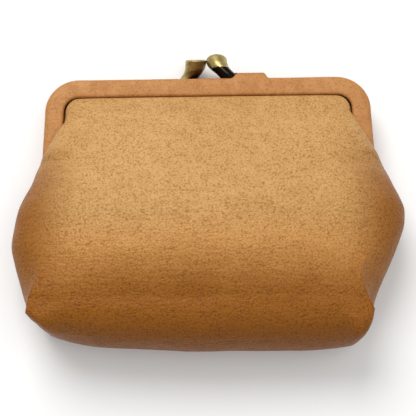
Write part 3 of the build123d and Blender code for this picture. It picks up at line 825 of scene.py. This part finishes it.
# the band's lower and bottom colours are also partly its own tone and partly painted shade; rim is painted
# shade on its rounded outer edge
band_leather = leather_material("band_leather_smooth", srgb(186, 132, 80), srgb(174, 118, 66),
                                srgb(160, 104, 54), srgb(150, 94, 44), 0.45, 0.35, 0.2,
                                rim=srgb(152, 94, 46))
brass = brass_material()
cloth = cloth_material()
steel = metal_material("frame_nickel", srgb(178, 174, 165), srgb(120, 114, 102))
rivet = metal_material("rivet_plating", srgb(168, 160, 146), srgb(98, 90, 76))
paper = fibre_material("twisted_paper", srgb(206, 186, 148), srgb(160, 136, 98), 1.1)
thread = fibre_material("seam_thread", srgb(186, 132, 78), srgb(128, 82, 38), 0.4)

# ---- pieces --------------------------------------------------------------------------------------
FINE_ZONE = 5.0            # rows are closer together in this much of the top
FINE_ROWS, PLAIN_ROWS = 26, 96
HEIGHTS = np.concatenate([FRONT_TOP - FINE_ZONE * (1 - np.cos(np.linspace(0, math.pi / 2, FINE_ROWS))),
                          np.linspace(FRONT_TOP - FINE_ZONE, BOTTOM_START, PLAIN_ROWS)[1:]])
WELD_DISTANCE = 0.004
LINING_LAG = 3.0


def relief_fade(x, height, z):
    """Relief is full on the open leather, and dies away at the frame, the seams and the table."""
    near_side = float(smooth(42, 52, abs(x)))
    return float(smooth(79, 70, height)) * float(smooth(2.0, 8.0, z)) * (1 - 0.8 * near_side)


def flap_slack(x, height, z):
    """How loose the lining hangs: fully in the middle of the front, where it folds as the purse opens."""
    return float(smooth(34, 40, height) * smooth(66, 58, height) * smooth(46, 38, abs(x)) * smooth(10, 16, z))


def make_sheet(name, section, sides, folds, seam_rise, slot_z, material, front, grid, heights):
    """A leather sheet with relief, and its edges at the boxed corners; grid is (columns, gusset columns)."""
    vertices, faces, edges = sheet_points(section, sides, folds, (RIGHT_BOTTOM, LEFT_BOTTOM), heights,
                                          seam_rise, slot_z, *grid, front)
    piece = make_piece(name, vertices, faces, material)
    weld(piece, WELD_DISTANCE * MM)
    soft_relief(piece, relief_fade)
    return piece, edges


def make_lining(name, sheet, material):
    """Cloth that follows the inside of a leather sheet."""
    piece = bpy.data.objects.new(name, sheet.data.copy())
    bpy.context.scene.collection.objects.link(piece)
    piece.data.materials.clear()
    piece.data.materials.append(material)
    for vertex, normal in zip(piece.data.vertices, [v.normal.copy() for v in sheet.data.vertices]):
        x, y, z = vertex.co / MM
        vertex.co -= normal * (LINING_OFFSET + LINING_SLACK * flap_slack(x, y - BAG_BOTTOM_Y, z)) * MM
    thicken(piece, LINING)
    return piece


FOLDS = (RIGHT_FOLD, LEFT_FOLD)
front_leather, corner_edges = make_sheet("front_leather", front_section, (RIGHT_SIDE, LEFT_SIDE), FOLDS,
                                         SEAM_RISE, SLOT_Z, body_leather, True, (90, 36), HEIGHTS)
front_lining = make_lining("front_lining", front_leather, cloth)
thicken(front_leather, LEATHER)
for piece, slot, lag, nodes in (
        (front_leather, "body_leather", 0.0, ("front_panel_upper", "front_panel_lower")),
        (front_lining, "lining_cloth", LINING_LAG, ("front_lining_upper", "front_lining_lower"))):
    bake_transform(piece)
    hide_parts(*nodes)

back_leather, _ = make_sheet("back_leather", back_section, (BACK_RIGHT_SIDE, BACK_LEFT_SIDE), FOLDS,
                             BACK_SEAM_RISE, SLOT_BACK_Z, body_leather, False, (60, 30), HEIGHTS[::2])
back_lining = make_lining("back_inner_lining", back_leather, cloth)
thicken(back_leather, LEATHER)
for piece, slot, node in ((back_leather, "body_leather", "back_panel"),
                          (back_lining, "lining_cloth", "back_lining")):
    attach(piece, "back_half")
    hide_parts(node)


STITCH_SINK = 0.60


def seam_places(path, out):
    """Stitches spaced evenly along a path of points, sunk below it against the way out."""
    path = [Vector(p) for p in path]
    lengths = [0.0]
    for a, b in zip(path, path[1:]):
        lengths.append(lengths[-1] + (b - a).length)
    places = []
    for at in np.arange(STITCH_PITCH / 2, lengths[-1], STITCH_PITCH):
        i = min(int(np.searchsorted(lengths, at)), len(path) - 1)
        share = (at - lengths[i - 1]) / (lengths[i] - lengths[i - 1])
        point = path[i - 1].lerp(path[i], share)
        outward = Vector(out)
        places.append((point - outward.normalized() * STITCH_SINK, path[i] - path[i - 1], outward))
    return places


for side_name, sign, side, edge in (("right", 1, RIGHT_SIDE, corner_edges[0]),
                                    ("left", -1, LEFT_SIDE, corner_edges[1])):
    path = [(sign * float(curve(side, h)), h, float(curve(SEAM_RISE, h))) for h in np.arange(11.0, 54.0, 0.5)]
    seams = ((side_name + "_side_stitches", "side_seam_thread_" + side_name, path, (sign, 0, 0)),
             (side_name + "_corner_stitches", "corner_seam_thread_" + side_name, edge, (sign, -1, 0)))
    for name, node, points, out in seams:
        stitches = make_stitches(name, seam_places(points, out), thread)
        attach(stitches, "back_half")
        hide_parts(node)
bottom_z = float(curve(SEAM_RISE, CORNER_TIP))
path = [(-x, float(curve(LEFT_BOTTOM, x)), bottom_z) for x in np.arange(51, 0, -1.0)]
path += [(x, float(curve(RIGHT_BOTTOM, x)), bottom_z) for x in np.arange(0, 45.5, 1.0)]
stitches = make_stitches("bottom_stitches", seam_places(path, (0, -1, 0)), thread)
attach(stitches, "back_half")
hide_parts("bottom_seam_thread")

for half, front in (("front", True), ("back", False)):
    band = make_band(half + "_band", band_leather, front)
    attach(band, half + "_half")
    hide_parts(half + "_frame_wrap")
    finger = make_finger(half + "_finger", brass, front)
    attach(finger, half + "_half")
    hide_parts(half + "_clasp_finger")

# the CAD model's own nodes that stay get their materials
finishes = {half + node: finish for half in ("front_", "back_")
            for node, finish in (("frame", steel), ("clasp_rivets", rivet), ("paper_cord", paper))}
finishes |= {"hinge_rivet_left": rivet, "hinge_rivet_right": rivet}
for node, finish in finishes.items():
    materials = frame["nodes"][node].data.materials
    materials.clear()
    materials.append(finish)

# ---- floor, light and camera ---------------------------------------------------------------------
FLOOR_SIZE = 3.0
FLOOR_DROP = 0.0002        # below the purse, so that the two never share a surface
CAMERA_TARGET = Vector((-0.0004, -0.0030, 0.012))
CAMERA_ELEVATION = math.radians(78)
CAMERA_AZIMUTH = math.radians(0)
CAMERA_ROLL = math.radians(-0.8)
CAMERA_DISTANCE = 0.340
CAMERA_FIELD = math.radians(21.05)

floor_material = Nodes("pale_floor", Specular_IOR_Level=0.2)
floor_tone = floor_material.noise(9, 3.0)
floor_material.finish(floor_material.mix(floor_tone, srgb(238, 238, 237), srgb(242, 242, 241)), 0.7)
bpy.ops.mesh.primitive_plane_add(size=FLOOR_SIZE, location=(0, 0, -FLOOR_DROP))
floor = bpy.context.object
floor.name = "floor"
floor.data.materials.append(floor_material.material)


def add_light(name, location, size, power):
    """A round soft light that points at the origin."""
    data = bpy.data.lights.new(name, "AREA")
    data.shape = "DISK"
    data.size = size
    data.energy = power
    light = bpy.data.objects.new(name, data)
    bpy.context.scene.collection.objects.link(light)
    light.location = location
    light.rotation_euler = (-Vector(location)).to_track_quat("-Z", "Y").to_euler()


add_light("key", (-0.24, 0.60, 0.84), 0.70, 8.2)
add_light("fill", (0.3, -0.1, 0.9), 0.9, 2.0)

world = bpy.data.worlds.new("studio")
bpy.context.scene.world = world
world.use_nodes = True
world.node_tree.nodes["Background"].inputs["Color"].default_value = (1, 1, 1, 1)
world.node_tree.nodes["Background"].inputs["Strength"].default_value = 0.56
bpy.context.scene.view_settings.view_transform = "Standard"

camera_data = bpy.data.cameras.new("camera")
camera_data.sensor_fit = "HORIZONTAL"
camera_data.angle = CAMERA_FIELD
camera_data.clip_start = 0.01
camera = bpy.data.objects.new("camera", camera_data)
bpy.context.scene.collection.objects.link(camera)
away = Vector((math.sin(CAMERA_AZIMUTH) * math.cos(CAMERA_ELEVATION),
               -math.cos(CAMERA_AZIMUTH) * math.cos(CAMERA_ELEVATION), math.sin(CAMERA_ELEVATION)))
camera.location = CAMERA_TARGET + away * CAMERA_DISTANCE
look = (-away).to_track_quat("-Z", "Y").to_matrix().to_4x4()
camera.matrix_world = Matrix.Translation(camera.location) @ look @ Matrix.Rotation(CAMERA_ROLL, 4, "Z")
bpy.context.scene.camera = camera
